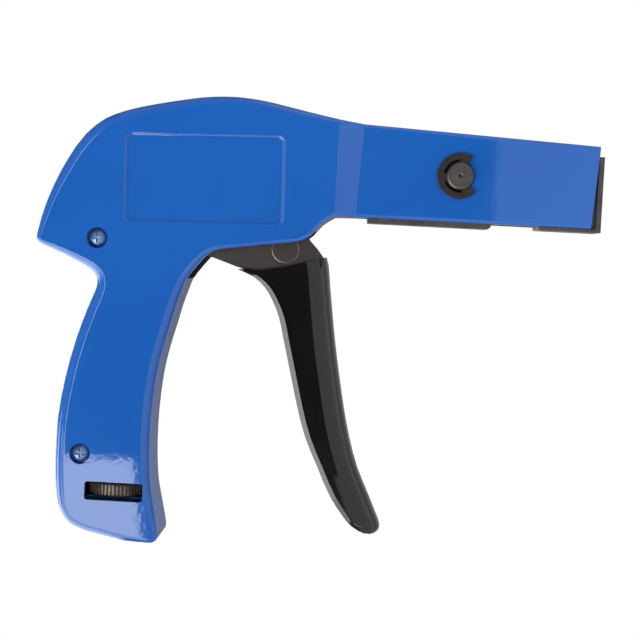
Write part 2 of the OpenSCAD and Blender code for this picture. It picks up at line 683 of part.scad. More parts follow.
module trigger_handle() {
    rings = [for (row = handle_rows) handle_ring(row)];
    m = len(rings);
    n = len(rings[0]) / 2;
    w = 2 * n;
    points = [for (r = rings) for (p = r) p];
    walls = [for (i = [0:m - 2]) for (j = [0:n - 2]) let (a = i * w + j, b = a + n) each [
        [a, a + w, a + 1], [a + 1, a + w, a + w + 1], [b, b + 1, b + w], [b + 1, b + w + 1, b + w]]];
    rims = [for (i = [0:m - 2]) let (a = i * w, b = i * w + n, c = i * w + n - 1, d = i * w + w - 1) each [
        [a, b, a + w], [b, b + w, a + w], [c, c + w, d], [d, c + w, d + w]]];
    // the caps' diagonals mirror each other, so that no triangle lies along the lips' edge
    ends = [for (j = [0:n - 2]) let (a = j, b = j + n, e = (m - 1) * w) each (j < (n - 1) / 2 ? [
        [a, a + 1, b], [a + 1, b + 1, b], [e + a, e + b, e + a + 1], [e + a + 1, e + b, e + b + 1]] : [
        [a, a + 1, b + 1], [a, b + 1, b], [e + a, e + b + 1, e + a + 1], [e + a, e + b, e + b + 1]])];
    color([0.07, 0.065, 0.07]) difference() {
        polyhedron(points, concat(walls, rims, ends));
        along_y(-body_half, body_half) polygon([for (s = concat(handle_sag_shares,
            [for (s = backwards(handle_sag_shares)) s + [0, handle_sag_rise_share]])) pivot + s * trigger_reach]);
    }
}

// Trigger lever: two plates from the pivot down into the handle, joined by a web
lever_shares = concat([
    [-0.060, -0.027], [-0.124, -0.229], [-0.137, -0.263], [-0.055, -0.290], [-0.014, -0.299],
    [0.018, -0.319], [0.043, -0.348], [0.062, -0.385], [0.071, -0.412], [0.110, -0.412]],
    lever_foot_shares, [[0.157, -0.230], [0.135, -0.207], [0.094, -0.128], [0.062, -0.014]]);
lever_hub_r = 7;
ear_end = 2.4;
link_pin_ahead = 8;
// the pin's head stays clear of the handle's top edge below it
link_pin_clear = 0.922;
sag_behind = handle_sag_shares[1] * trigger_reach;
sag_ahead = handle_sag_shares[2] * trigger_reach;
sag_slope = (sag_ahead[1] - sag_behind[1]) / (sag_ahead[0] - sag_behind[0]);
link_pin_drop = -sag_behind[1] - (link_pin_ahead - sag_behind[0]) * sag_slope
    - (pin_head_d / 2 + link_pin_clear) * norm([1, sag_slope]);
link_pin_at = pivot + [link_pin_ahead, -link_pin_drop];
web_rows_shares = [0.110, -0.412, -0.290];
module trigger_lever() {
    color([0.24, 0.21, 0.21]) {
        for (y = [-lever_outer, lever_inner]) along_y(y, y + lever_t) difference() {
            union() {
                translate(pivot) circle(lever_hub_r);
                polygon([for (s = lever_shares) pivot + s * trigger_reach]);
                translate([tab[0] - ear_end, tab[1] - tab_t]) square([ear_back, 1.5 * tab_t]);
            }
            translate(pivot) circle(pivot_bore_r);
            translate(link_pin_at) circle(pivot_bore_r);
        }
        // web across the plates, inside the handle
        translate([pivot[0] + web_rows_shares[0] * trigger_reach - lever_t, -lever_inner - run_gap,
            pivot[1] + web_rows_shares[1] * trigger_reach])
            cube([lever_t, 2 * (lever_inner + run_gap), (web_rows_shares[2] - web_rows_shares[1]) * trigger_reach]);
        // tab that carries the trigger spring
        translate([tab[0] - ear_end, -lever_inner - run_gap, tab[1] - tab_t / 2])
            cube([2 * ear_end, lever_inner + run_gap + trigger_spring_y + trigger_spring_r, tab_t]);
    }
}

module trigger_pivot_pin() {
    color([0.45, 0.45, 0.47]) disc_y(pivot, pin_d / 2, -body_half + pivot_bore_end_wall + seat_gap,
        body_half - pivot_bore_end_wall - seat_gap);
}

pin_head_t = 0.8;
module link_pin() {
    color([0.3, 0.27, 0.27]) {
        disc_y(link_pin_at, pin_d / 2, -lever_outer - run_gap - pin_head_t, lever_outer + run_gap + pin_head_t);
        for (s = [-1, 1]) disc_y(link_pin_at, pin_head_d / 2, s * (lever_outer + run_gap + pin_head_t / 2) - pin_head_t / 2,
            s * (lever_outer + run_gap + pin_head_t / 2) + pin_head_t / 2);
    }
}

// A round wire along a path of points, with a frame that turns no more than the path does
wire_sides = 6;
function unit(v) = v / norm(v);
function tangent(path, i) = unit(path[min(i + 1, len(path) - 1)] - path[max(i - 1, 0)]);
function square_to(v, t) = unit(v - (v * t) * t);
module wire(path, d, start) {
    n = len(path);
    frames = [for (i = 0, u = square_to(start, tangent(path, 0)); i < n;
        i = i + 1, u = i < n ? square_to(u, tangent(path, i)) : u) u];
    rings = [for (i = [0:n - 1]) let (t = tangent(path, i), v = cross(t, frames[i]))
        [for (k = [0:wire_sides - 1]) path[i] + d / 2 * (cos(360 * k / wire_sides) * frames[i]
            + sin(360 * k / wire_sides) * v)]];
    skin([for (i = [n - 1:-1:0]) rings[i]]);
}
turn_steps = 10;
// Turns of a coil about Z, from z0 up to z1
function coil(r, turns, z0, z1, from) = [for (i = [0:turns * turn_steps]) let (a = from + 360 * i / turn_steps)
    [r * cos(a), r * sin(a), z0 + (z1 - z0) * i / (turns * turn_steps)]];
// Hook around a pin along Y at height z, from its open end to the coil, for the lower end
lead_steps = 6;
hook_open = 20;
hook_step = 20;
function hook(z, hook_r, r, lead) = concat(
    [for (a = [hook_open:-hook_step:-180]) [hook_r * cos(a), 0, z + hook_r * sin(a)]],
    [for (k = [1:lead_steps - 1]) let (s = k / lead_steps, q = hook_r + (r - hook_r) * s, a = 180 + 90 * s * s)
        [q * cos(a), q * sin(a), z + lead * s]]);
// Extension spring between two pins along Y, at heights z0 and z1
module extension_spring(z0, z1, pin0_d, pin1_d, r, turns, wire_d, lead) {
    low = hook(z0, pin0_d / 2 + wire_d / 2 + seat_gap, r, lead);
    high_at_zero = hook(0, pin1_d / 2 + wire_d / 2 + seat_gap, r, lead);
    high = [for (p = high_at_zero) [p[0], -p[1], z1 - p[2]]];
    wire(concat(low, coil(r, turns + 0.5, z0 + lead, z1 - lead, 270), backwards(high)), wire_d, [0, 1, 0]);
}
module compression_spring(z0, z1, r, turns, wire_d) {
    wire(coil(r - wire_d / 2, turns, z0 + wire_d / 2, z1 - wire_d / 2, 0), wire_d, [0, 0, 1]);
}

module trigger_spring() {
    color([0.6, 0.6, 0.62]) translate([tab[0], trigger_spring_y, 0])
        compression_spring(tab[1] + tab_t / 2 + seat_gap, spring_seat_z - seat_gap,
            trigger_spring_r, trigger_spring_turns, trigger_spring_wire);
}

// Pull link: from the link pin up over the ramp's floor, then forward to the carriage
link_rise = 3.6;
// the front pin lies behind the blade spring, with room for the trigger's travel
link_front_clear = 8;
link_front = [tail_pin[0] - link_front_clear, -link_rise];
link_bend_back = 6.7;
link_bend_drop = 3.1;
link_bend = [-ramp_back - link_bend_back, -link_bend_drop];
link_w = 4;
link_eye_r = 4;
link_front_eye_r = 2.7;
link_front_pin_d = 4;
module pull_link() {
    color([0.35, 0.34, 0.35]) along_y(-link_t / 2, link_t / 2) difference() {
        union() {
            translate(link_pin_at) circle(link_eye_r);
            translate(link_bend) circle(round_share * link_w);
            translate(link_front) circle(link_front_eye_r);
            bar(link_pin_at, link_bend, link_w);
            bar(link_bend, link_front, link_w);
        }
        translate(link_pin_at) circle(pivot_bore_r);
        translate(link_front) circle(link_front_pin_d / 2 + run_gap);
    }
}
module link_front_pin() {
    color([0.45, 0.45, 0.47]) disc_y(link_front, link_front_pin_d / 2, -cheek_outer - seat_gap, cheek_outer + seat_gap);
}

// Gripper carriage: two side plates with a bed, a bridge and a rear tie between them
head_front = 7;
head_len = 13;
head_top = 7;
head_front_top = 5.2;
cheek_low = -barrel_drop + slide_gap;
rear_low = barrel_floor + slide_gap;
rear_high = 0.8;
side_top = -3.6;
rear_len = 6;
carriage_back = -link_front[0] + link_front_eye_r + 1.3;
bed_top = -slot_h / 2;
bed_t = 2.5;
bed_len = 11.5;
bridge_t = 1;
bridge_len = 4;
bridge_back = 13.5;
slot_up = 0.35;
slot_down = 0.8;
slot_side = 0.15;
module gripper_carriage() {
    head_back = head_front + head_len;
    step = -link_front[0] - rear_len - 2;
    slot_low = link_front[1] - link_front_pin_d / 2 - slot_down;
    color([0.4, 0.39, 0.4]) {
        for (y = [-cheek_outer, cheek_inner]) along_y(y, y + cheek_t) difference() {
            polygon([[-head_front, cheek_low], [-head_front, head_front_top], [-bridge_back + 1.2 * bridge_t, head_top],
                [-bridge_back - bridge_len - bridge_t, head_top], [-head_back, head_front_top], [-head_back, side_top],
                [link_front[0] + rear_len, side_top], [link_front[0] + rear_len - 1.5, rear_high],
                [-carriage_back, rear_high], [-carriage_back, rear_low], [-step, rear_low],
                [-step + 2, cheek_low]]);
            translate([-head_front - 2.5, 3.2]) circle(pawl_pin_d / 2 + run_gap);
            translate([link_front[0] - link_front_pin_d / 2 - slot_side, slot_low])
                square([link_front_pin_d + 2 * slot_side, link_front_pin_d + slot_down + slot_up]);
        }
        translate([-head_front - bed_len, -cheek_inner - run_gap, bed_top - bed_t])
            cube([bed_len, 2 * (cheek_inner + run_gap), bed_t]);
        translate([-bridge_back - bridge_len, -cheek_inner - run_gap, head_top - bridge_t])
            cube([bridge_len, 2 * (cheek_inner + run_gap), bridge_t]);
        translate([-carriage_back, -cheek_inner - run_gap, rear_high - bridge_t])
            cube([carriage_back + link_front[0] + bridge_len, 2 * (cheek_inner + run_gap), bridge_t]);
    }
}

// Toothed pawl on a pin through the carriage, over the bed
pawl_half = cheek_inner - slide_gap;
pawl_at = [-head_front - 2.5, 3.2];
pawl_eye_r = 2.2;
pawl_back = 18.5;
pawl_foot = 14;
pawl_back_top = 3.3;
tooth_h = 0.6;
bite_gap = 0.3;
module gripper_pawl() {
    foot_z = bed_top + bite_gap;
    pitch = (pawl_back - pawl_foot) / pawl_teeth;
    color([0.5, 0.48, 0.46]) along_y(-pawl_half, pawl_half) difference() {
        union() {
            translate(pawl_at) circle(pawl_eye_r);
            polygon(concat(
                [pawl_at + [-pawl_eye_r / 2, pawl_eye_r * 0.86], [-pawl_foot + 1, pawl_back_top], [-pawl_back, pawl_back_top]],
                [for (k = [0:pawl_teeth - 1]) each [[-pawl_back + k * pitch, foot_z],
                    [-pawl_back + (k + 0.9) * pitch, foot_z + tooth_h]]],
                [[-pawl_foot, foot_z + tooth_h], pawl_at + [0, -pawl_eye_r]]));
        }
        translate(pawl_at) circle(pawl_pin_d / 2 + run_gap);
    }
}
module pawl_pin() {
    color([0.45, 0.45, 0.47]) disc_y(pawl_at, pawl_pin_d / 2, -cheek_outer - slide_gap, cheek_outer + slide_gap);
}
pawl_spring_r = 1.6;
pawl_spring_wire = 0.4;
pawl_spring_turns = 3;
module pawl_spring() {
    color([0.6, 0.6, 0.62]) translate([-bridge_back - bridge_len / 2, 0, 0])
        compression_spring(pawl_back_top + seat_gap, head_top - bridge_t - seat_gap,
            pawl_spring_r, pawl_spring_turns, pawl_spring_wire);
}

// Blade with a window for the blade lever's tongue, and a cutting bevel along its lower edge
blade_low = 1.4;
blade_high = 12.9;
window_low = 9.7;
window_high = 12.4;
tongue_gap = 0.2;
blade_bevel = 0.8;
module blade() {
    color([0.55, 0.55, 0.57]) difference() {
        translate([-blade_back, -blade_half, blade_low]) cube([blade_t, 2 * blade_half, blade_high - blade_low]);
        translate([-blade_back - over, -blade_lever_half - tongue_gap, window_low])
            cube([blade_t + 2 * over, 2 * (blade_lever_half + tongue_gap), window_high - window_low]);
        along_y(-barrel_half, barrel_half) polygon([[-blade_back - over, blade_low - over],
            [-blade_back + blade_t - 0.2 * blade_bevel, blade_low - over],
            [-blade_back + blade_t - 0.2 * blade_bevel, blade_low], [-blade_back, blade_low + blade_bevel],
            [-blade_back - over, blade_low + blade_bevel]]);
    }
}

// Blade lever: turned by the cut-off bar, it pushes the blade down with its tongue
lever_hub = 6.2;
tongue_x = 2.2;
arm_reach = 22;
finger_top = 14.1;
tail_eye_r = 1.6;
fork_gap_half = 1;
module blade_lever() {
    tongue_root = blade_back + 0.5;
    color([0.42, 0.4, 0.4]) {
        difference() {
            along_y(-blade_lever_half, blade_lever_half) difference() {
                union() {
                    translate(stud) circle(lever_hub);
                    polygon([[stud[0] - finger_back, stud[1]], [stud[0] - finger_back, finger_top],
                        [stud[0] + 1, finger_top], [stud[0] + 6, 13.4], [stud[0] + arm_reach, 13], [-tongue_root, window_high - tongue_gap],
                        [-tongue_x, window_high - tongue_gap], [-tongue_x, window_low + tongue_gap],
                        [stud[0] + 9, window_low + tongue_gap], stud + [lever_hub - 2, 1]]);
                    bar(stud, tail_pin, tail_eye_r / round_share);
                    translate(tail_pin) circle(tail_eye_r);
                }
                translate(stud) circle(stud_d / 2 + run_gap);
            }
            along_y(-fork_gap_half, fork_gap_half) translate(tail_pin) circle(2 * tail_eye_r);
        }
        disc_y(tail_pin, tail_pin_d / 2, -fork_gap_half - run_gap, fork_gap_half + run_gap);
    }
}
blade_spring_r = 1.7;
blade_spring_wire = 0.5;
blade_spring_turns = 6;
blade_spring_lead = 2.7;
module blade_spring() {
    color([0.6, 0.6, 0.62]) translate([peg[0], 0, 0])
        extension_spring(peg[1], tail_pin[1], peg_d, tail_pin_d, blade_spring_r - blade_spring_wire / 2,
            blade_spring_turns, blade_spring_wire, blade_spring_lead);
}

module cutoff_bar() {
    color([0.4, 0.39, 0.4]) along_y(-rocker_t / 2, rocker_t / 2) bar(bar_front, bar_rear, bar_h);
}

// Load lever: its eye lies around the trigger's pivot pin, its upper arm meets the cut-off
// bar, and its rear arm carries the tension links
eye_r = 6.5;
eye_play = 1.2;
rocker_hub_r = 6;
rear_eye_r = 4.2;
rear_slot_play = 0.8;
face_ahead = 3;
module load_lever() {
    upper_pin = [tension_x, upper_pin_z];
    face_x = bar_rear[0] - bar_gap;
    color([0.38, 0.36, 0.36]) along_y(-rocker_t / 2, rocker_t / 2) difference() {
        union() {
            translate(rocker) circle(rocker_hub_r);
            translate(pivot) circle(eye_r);
            bar(rocker, pivot, 1.4 * rocker_hub_r);
            bar(rocker, upper_pin, 1.2 * rocker_hub_r);
            translate(upper_pin) circle(rear_eye_r);
            polygon([[face_x, rocker[1]], [face_x, bar_rear[1] + 1.2 * bar_h / 2], [face_x - face_ahead, bar_rear[1] + 1.2 * bar_h / 2],
                [face_x - 2 * face_ahead, rocker[1] + 1], [rocker[0], rocker[1]]]);
        }
        translate(rocker) circle(rocker_pin_d / 2 + run_gap);
        translate(pivot) offset(r = eye_play) square([pin_d + 0.6 - 2 * eye_play, pin_d], center = true);
        translate(upper_pin) square([small_pin_d + 2 * rear_slot_play, small_pin_d + 2 * seat_gap], center = true);
    }
}
module load_lever_pin() {
    half = body_half - pivot_bore_end_wall - seat_gap;
    color([0.45, 0.45, 0.47]) disc_y(rocker, rocker_pin_d / 2, -half, half);
}

// Tension links, their pins, the spring and the nut on the tension screw
module tension_links() {
    color([0.42, 0.4, 0.4]) for (y = [-strip_outer, strip_inner]) along_y(y, y + link_strip_t) difference() {
        union() {
            translate([tension_x - link_strip_w / 2, lower_pin_z]) square([link_strip_w, strip_len]);
            for (z = [lower_pin_z, upper_pin_z]) translate([tension_x, z]) circle(round_share * link_strip_w);
        }
        for (z = [lower_pin_z, upper_pin_z]) translate([tension_x, z]) circle(small_pin_d / 2 + run_gap);
    }
}
small_pin_over = 0.5;
module upper_tension_pin() {
    color([0.5, 0.5, 0.52]) disc_y([tension_x, upper_pin_z], small_pin_d / 2, -strip_outer - small_pin_over,
        strip_outer + small_pin_over);
}
module lower_tension_pin() {
    color([0.5, 0.5, 0.52]) disc_y([tension_x, lower_pin_z], small_pin_d / 2, -strip_outer - small_pin_over,
        strip_outer + small_pin_over);
}
spring_lead = 5;
module tension_spring() {
    color([0.55, 0.56, 0.6]) translate([tension_x, 0, 0])
        extension_spring(nut_pin_z, lower_pin_z, small_pin_d, small_pin_d, spring_r - spring_wire / 2,
            spring_turns, spring_wire, spring_lead);
}
yoke_w = 5;
module tension_nut() {
    color([0.66, 0.55, 0.3]) difference() {
        union() {
            translate([tension_x - nut_size / 2, -nut_size / 2, nut_low]) cube([nut_size, nut_size, nut_t]);
            for (y = [-nut_size / 2, nut_size / 2 - yoke_t]) {
                translate([tension_x - yoke_w / 2, y, nut_low]) cube([yoke_w, yoke_t, nut_pin_z - nut_low]);
                disc_y([tension_x, nut_pin_z], round_share * yoke_w, y, y + yoke_t);
            }
        }
        translate([tension_x, 0, nut_low - over]) cylinder(r = tension_screw_d / 2 + run_gap, h = nut_t + 2 * over);
        disc_y([tension_x, nut_pin_z], small_pin_d / 2 + run_gap, -nut_size, nut_size);
    }
}
module nut_pin() {
    color([0.5, 0.5, 0.52]) disc_y([tension_x, nut_pin_z], small_pin_d / 2, -nut_size / 2, nut_size / 2);
}
screw_below = 1.5;
screw_end_bevel = 0.6;
module tension_screw() {
    low = wheel_low - slide_gap - bearing_t - screw_below;
    high = nut_top + screw_over_nut;
    r = tension_screw_d / 2;
    color([0.5, 0.5, 0.52]) translate([tension_x, 0, 0]) rotate_extrude() polygon([
        [0, low], [r - screw_end_bevel, low], [r, low + screw_end_bevel], [r, high - screw_end_bevel],
        [r - screw_end_bevel, high], [0, high]]);
}
rib_h = 0.55;
rib_top_share = 0.27;
rib_foot_share = 0.45;
wheel_bevel = 0.5;
module tension_wheel() {
    step = 360 / wheel_ribs;
    profile = [for (k = [0:wheel_ribs - 1]) for (e = [[-rib_top_share, wheel_r], [rib_top_share, wheel_r],
        [rib_foot_share, wheel_r - rib_h], [1 - rib_foot_share, wheel_r - rib_h]])
        let (a = (k + e[0]) * step) e[1] * [cos(a), sin(a)]];
    color([0.3, 0.27, 0.25]) translate([tension_x, 0, wheel_low]) difference() {
        intersection() {
            linear_extrude(wheel_t) polygon(profile);
            rotate_extrude() polygon([[0, 0], [wheel_r - wheel_bevel, 0], [wheel_r + run_gap, wheel_bevel + run_gap],
                [wheel_r + run_gap, wheel_t - wheel_bevel - run_gap], [wheel_r - wheel_bevel, wheel_t], [0, wheel_t]]);
        }
        translate([0, 0, -over]) cylinder(r = tension_screw_d / 2 + run_gap, h = wheel_t + 2 * over);
    }
}

right_housing();
left_housing();
housing_screws();
nose_plate();
guide_rail();
barrel_stud();
e_clip();
trigger_handle();
trigger_lever();
trigger_pivot_pin();
link_pin();
trigger_spring();
pull_link();
link_front_pin();
gripper_carriage();
gripper_pawl();
pawl_pin();
pawl_spring();
blade();
blade_lever();
blade_spring();
cutoff_bar();
load_lever();
load_lever_pin();
tension_links();
upper_tension_pin();
lower_tension_pin();
tension_spring();
tension_nut();
nut_pin();
tension_screw();
tension_wheel();
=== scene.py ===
import json
import math

import bpy
from mathutils import Matrix, Vector

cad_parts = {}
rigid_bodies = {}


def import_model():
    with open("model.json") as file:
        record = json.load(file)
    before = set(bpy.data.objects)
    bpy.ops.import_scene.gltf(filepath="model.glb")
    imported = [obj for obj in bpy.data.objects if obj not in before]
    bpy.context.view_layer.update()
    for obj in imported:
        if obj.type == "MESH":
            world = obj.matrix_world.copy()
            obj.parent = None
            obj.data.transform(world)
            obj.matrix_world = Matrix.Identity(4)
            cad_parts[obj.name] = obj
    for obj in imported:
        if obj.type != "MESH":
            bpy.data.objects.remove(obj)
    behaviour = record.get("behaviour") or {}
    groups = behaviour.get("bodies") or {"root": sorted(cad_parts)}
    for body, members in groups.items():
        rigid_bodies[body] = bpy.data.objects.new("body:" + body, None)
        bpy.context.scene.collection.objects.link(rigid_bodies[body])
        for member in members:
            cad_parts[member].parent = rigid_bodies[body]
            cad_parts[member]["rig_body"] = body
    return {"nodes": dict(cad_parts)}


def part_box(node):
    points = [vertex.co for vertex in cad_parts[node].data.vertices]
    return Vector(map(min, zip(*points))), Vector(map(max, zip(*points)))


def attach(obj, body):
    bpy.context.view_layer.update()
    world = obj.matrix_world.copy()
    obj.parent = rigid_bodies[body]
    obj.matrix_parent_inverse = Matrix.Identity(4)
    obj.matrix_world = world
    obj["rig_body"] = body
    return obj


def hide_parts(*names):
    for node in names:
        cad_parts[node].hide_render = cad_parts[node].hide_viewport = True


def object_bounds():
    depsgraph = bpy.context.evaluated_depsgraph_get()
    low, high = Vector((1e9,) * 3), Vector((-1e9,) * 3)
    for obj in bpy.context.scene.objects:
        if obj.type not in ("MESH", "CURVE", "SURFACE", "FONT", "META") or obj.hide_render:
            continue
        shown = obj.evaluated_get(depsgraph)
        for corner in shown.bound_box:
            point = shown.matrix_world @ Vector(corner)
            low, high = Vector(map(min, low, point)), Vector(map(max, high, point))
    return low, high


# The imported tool
# It comes in at its real size, in metres, with each part already on the body that it moves with.
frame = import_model()
cad_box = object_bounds()
bpy.ops.object.select_all(action="DESELECT")
MM = 0.001


# The two castings
# The body is a pair of zinc die castings that meet on the middle plane. Each is cleaned at its
# edges and painted a glossy blue, which dries with a faint orange peel and gathers at the corners.
casting_lip = 0.22 * MM
blue = (0.0116, 0.104, 0.430)
blue_thin = (0.0144, 0.115, 0.454)
blue_roughness = 0.028
peel_scale = 620.0
peel_height = 0.0036 * MM
# the ramp from body to barrel begins and ends with a fold across each side, inside these narrow
# bands along X; a fold's edges rise at least this far, and the sides lie this far from the middle
front_fold = (-71.9 * MM, -70.5 * MM)
back_fold = (-78.3 * MM, -77.8 * MM)
fold_rise = 0.5 * MM
side_from = 7 * MM
# a face larger than this is one of the broad flats
broad_flat = 60 * MM * MM
# points closer than the gap are one point, and a bend sharper than the angle is a real edge
weld_gap = 0.002 * MM
real_edge = math.radians(38)


def pick_out(piece):
    """Makes one piece the only one selected, and the active one."""
    bpy.ops.object.select_all(action="DESELECT")
    piece.select_set(True)
    bpy.context.view_layer.objects.active = piece


def crease_across(piece, bands):
    """Marks as sharp the edges that run up a piece's flat sides inside some narrow bands."""
    points = piece.data.vertices
    for edge in piece.data.edges:
        ends = [points[index].co for index in edge.vertices]
        tall = abs(ends[0].z - ends[1].z) > fold_rise
        on_side = min(abs(end.y) for end in ends) > side_from
        for back, front in bands:
            if tall and on_side and all(back < end.x < front for end in ends):
                edge.use_edge_sharp = True


def worked_copy(node, name, lip=0.0, smooth=35.0, flat=0.4, creases=()):
    """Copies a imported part, joins its loose faces, breaks its edges and shades its curves smooth."""
    # the CAD's facets are joined into flat faces first, so that only its real edges are broken
    piece = bpy.data.objects.new(name, frame["nodes"][node].data.copy())
    bpy.context.scene.collection.objects.link(piece)
    pick_out(piece)
    bpy.ops.object.mode_set(mode="EDIT")
    bpy.ops.mesh.select_all(action="SELECT")
    bpy.ops.mesh.remove_doubles(threshold=weld_gap)
    bpy.ops.mesh.dissolve_limited(angle_limit=math.radians(flat))
    bpy.ops.mesh.normals_make_consistent(inside=False)
    bpy.ops.object.mode_set(mode="OBJECT")
    if lip:
        broken = piece.modifiers.new("broken edges", "BEVEL")
        broken.width = lip
        broken.segments = 2
        broken.limit_method = "ANGLE"
        broken.angle_limit = real_edge
        broken.use_clamp_overlap = True
        bpy.ops.object.modifier_apply(modifier=broken.name)
    bpy.ops.object.shade_smooth_by_angle(angle=math.radians(smooth))
    crease_across(piece, creases)
    # at full weight, the largest face at a corner decides how the corner is shaded
    even = piece.modifiers.new("flat faces stay flat", "WEIGHTED_NORMAL")
    even.mode = "FACE_AREA"
    even.keep_sharp = True
    even.weight = 100
    bpy.ops.object.modifier_apply(modifier=even.name)
    # the broad flats are shaded as true planes right up to their edges
    shading = [corner.vector.copy() for corner in piece.data.corner_normals]
    for face in piece.data.polygons:
        if face.area > broad_flat:
            for corner in face.loop_indices:
                shading[corner] = face.normal.copy()
    piece.data.normals_split_custom_set(shading)
    bpy.ops.object.select_all(action="DESELECT")
    return piece


def set_on(piece, node, material):
    """Gives a piece its finish, and puts it on the body of the part that it stands for."""
    piece.data.materials.clear()
    piece.data.materials.append(material)
    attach(piece, frame["nodes"][node]["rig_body"])
    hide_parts(node)


def new_material(name, roughness, metallic=0.0):
    """An empty finish, with its nodes, its surface shader and the place on the piece in metres."""
    material = bpy.data.materials.new(name)
    material.use_nodes = True
    nodes = material.node_tree.nodes
    surface = nodes["Principled BSDF"]
    surface.inputs["Roughness"].default_value = roughness
    surface.inputs["Metallic"].default_value = metallic
    place = nodes.new("ShaderNodeTexCoord")
    return material, nodes, material.node_tree.links, surface, place.outputs["Object"]


def noise(nodes, links, place, scale, detail=2.0, rough=0.5):
    """A cloud pattern at a scale in cycles a metre."""
    cloud = nodes.new("ShaderNodeTexNoise")
    cloud.inputs["Scale"].default_value = scale
    cloud.inputs["Detail"].default_value = detail
    cloud.inputs["Roughness"].default_value = rough
    links.new(place, cloud.inputs["Vector"])
    return cloud.outputs["Fac"]


def stretch(nodes, links, place, scale, turn=(0.0, 0.0, 0.0), centre=(0.0, 0.0, 0.0)):
    """Moves, turns and stretches a place before a pattern reads it."""
    mapping = nodes.new("ShaderNodeMapping")
    mapping.vector_type = "TEXTURE"
    mapping.inputs["Location"].default_value = centre
    mapping.inputs["Rotation"].default_value = turn
    mapping.inputs["Scale"].default_value = scale
    links.new(place, mapping.inputs["Vector"])
    return mapping.outputs["Vector"]


def ramp(nodes, links, value, stops):
    """Turns a value from 0 to 1 into colours, at the stops given."""
    band = nodes.new("ShaderNodeValToRGB")
    elements = band.color_ramp.elements
    while len(elements) < len(stops):
        elements.new(0.5)
    for element, (position, colour) in zip(elements, stops):
        element.position = position
        element.color = (*colour, 1.0)
    links.new(value, band.inputs["Fac"])
    return band.outputs["Color"]


def spread(nodes, links, value, low, high):
    """Turns a value from 0 to 1 into one from low to high."""
    span = nodes.new("ShaderNodeMapRange")
    span.inputs["To Min"].default_value = low
    span.inputs["To Max"].default_value = high
    links.new(value, span.inputs["Value"])
    return span.outputs["Result"]


def relief(nodes, links, height, depth, normal=None):
    """Raises and sinks a surface by a pattern, to a depth in metres."""
    bump = nodes.new("ShaderNodeBump")
    bump.inputs["Strength"].default_value = 1.0
    bump.inputs["Distance"].default_value = depth
    links.new(height, bump.inputs["Height"])
    if normal:
        links.new(normal, bump.inputs["Normal"])
    return bump.outputs["Normal"]


# deeper than this below the side's face, the rim of the recess isn't rounded
rim_depth = 4 * MM


def softened_recess(nodes, links, place, centre, half_length, half_height, corner, tilt, width):
    """A height that falls gently over the rim of a recess with round corners, on the side at -Y."""
    def step(operation, first, second=0.0):
        """One step of arithmetic on values or numbers."""
        sum_node = nodes.new("ShaderNodeMath")
        sum_node.operation = operation
        for socket, value in zip(sum_node.inputs, (first, second)):
            if isinstance(value, (int, float)):
                socket.default_value = value
            else:
                links.new(value, socket)
        return sum_node.outputs["Value"]

    def past_straight(distance, half):
        """How far a place is past the end of a side's straight run, before the corner begins."""
        return step("MAXIMUM", step("SUBTRACT", step("ABSOLUTE", distance), half - corner), 0.0)

    turned = stretch(nodes, links, place, (1.0, 1.0, 1.0), (0.0, -tilt, 0.0), centre)
    from_centre = nodes.new("ShaderNodeSeparateXYZ")
    links.new(turned, from_centre.inputs["Vector"])
    along = past_straight(from_centre.outputs["X"], half_length)
    up = past_straight(from_centre.outputs["Z"], half_height)
    away = step("SQRT", step("ADD", step("MULTIPLY", along, along), step("MULTIPLY", up, up)))
    fall = nodes.new("ShaderNodeMapRange")
    fall.interpolation_type = "SMOOTHSTEP"
    fall.inputs["From Min"].default_value = corner - width
    fall.inputs["From Max"].default_value = corner + width
    links.new(away, fall.inputs["Value"])
    deep = step("GREATER_THAN", from_centre.outputs["Y"], rim_depth)
    return step("MAXIMUM", fall.outputs["Result"], deep)


def spread_between(nodes, links, value, start, end):
    """0 at a start and 1 at an end, and in between it rises evenly."""
    span = nodes.new("ShaderNodeMapRange")
    span.inputs["From Min"].default_value = start
    span.inputs["From Max"].default_value = end
    links.new(value, span.inputs["Value"])
    return span.outputs["Result"]


def within(nodes, links, place, centre, radius, core, edge):
    """1 round an axis along Y out to a core and 0 past an edge, both given as shares of a radius.

    Where the core is the larger share, it is 0 inside and 1 outside.
    """
    ball = nodes.new("ShaderNodeTexGradient")
    ball.gradient_type = "SPHERICAL"
    from_axis = stretch(nodes, links, place, (radius, 1.0, radius), centre=tuple(centre))
    links.new(from_axis, ball.inputs["Vector"])
    return spread_between(nodes, links, ball.outputs["Fac"], 1 - edge, 1 - core)


def blend(nodes, links, share, first, second):
    """A colour that goes from the first to the second as the share goes from 0 to 1."""
    mix = nodes.new("ShaderNodeMix")
    mix.data_type = "RGBA"
    # a mix of colours takes its share and its two colours at these places of the node's list
    share_in, first_in, second_in = (mix.inputs[order] for order in (0, 6, 7))
    colour_out = mix.outputs[2]
    links.new(share, share_in)
    links.new(first, first_in)
    second_in.default_value = (*second, 1.0)
    return colour_out


paint_cloud = 34.0
paint_unevenness = 260.0
fine_peel_scale = 3.1
fine_peel_height = 0.16
nib_scale = 115.0
nib_height = 0.005 * MM
rim_fall = 0.19 * MM
painted_shade_black = (0.006, 0.006, 0.009)


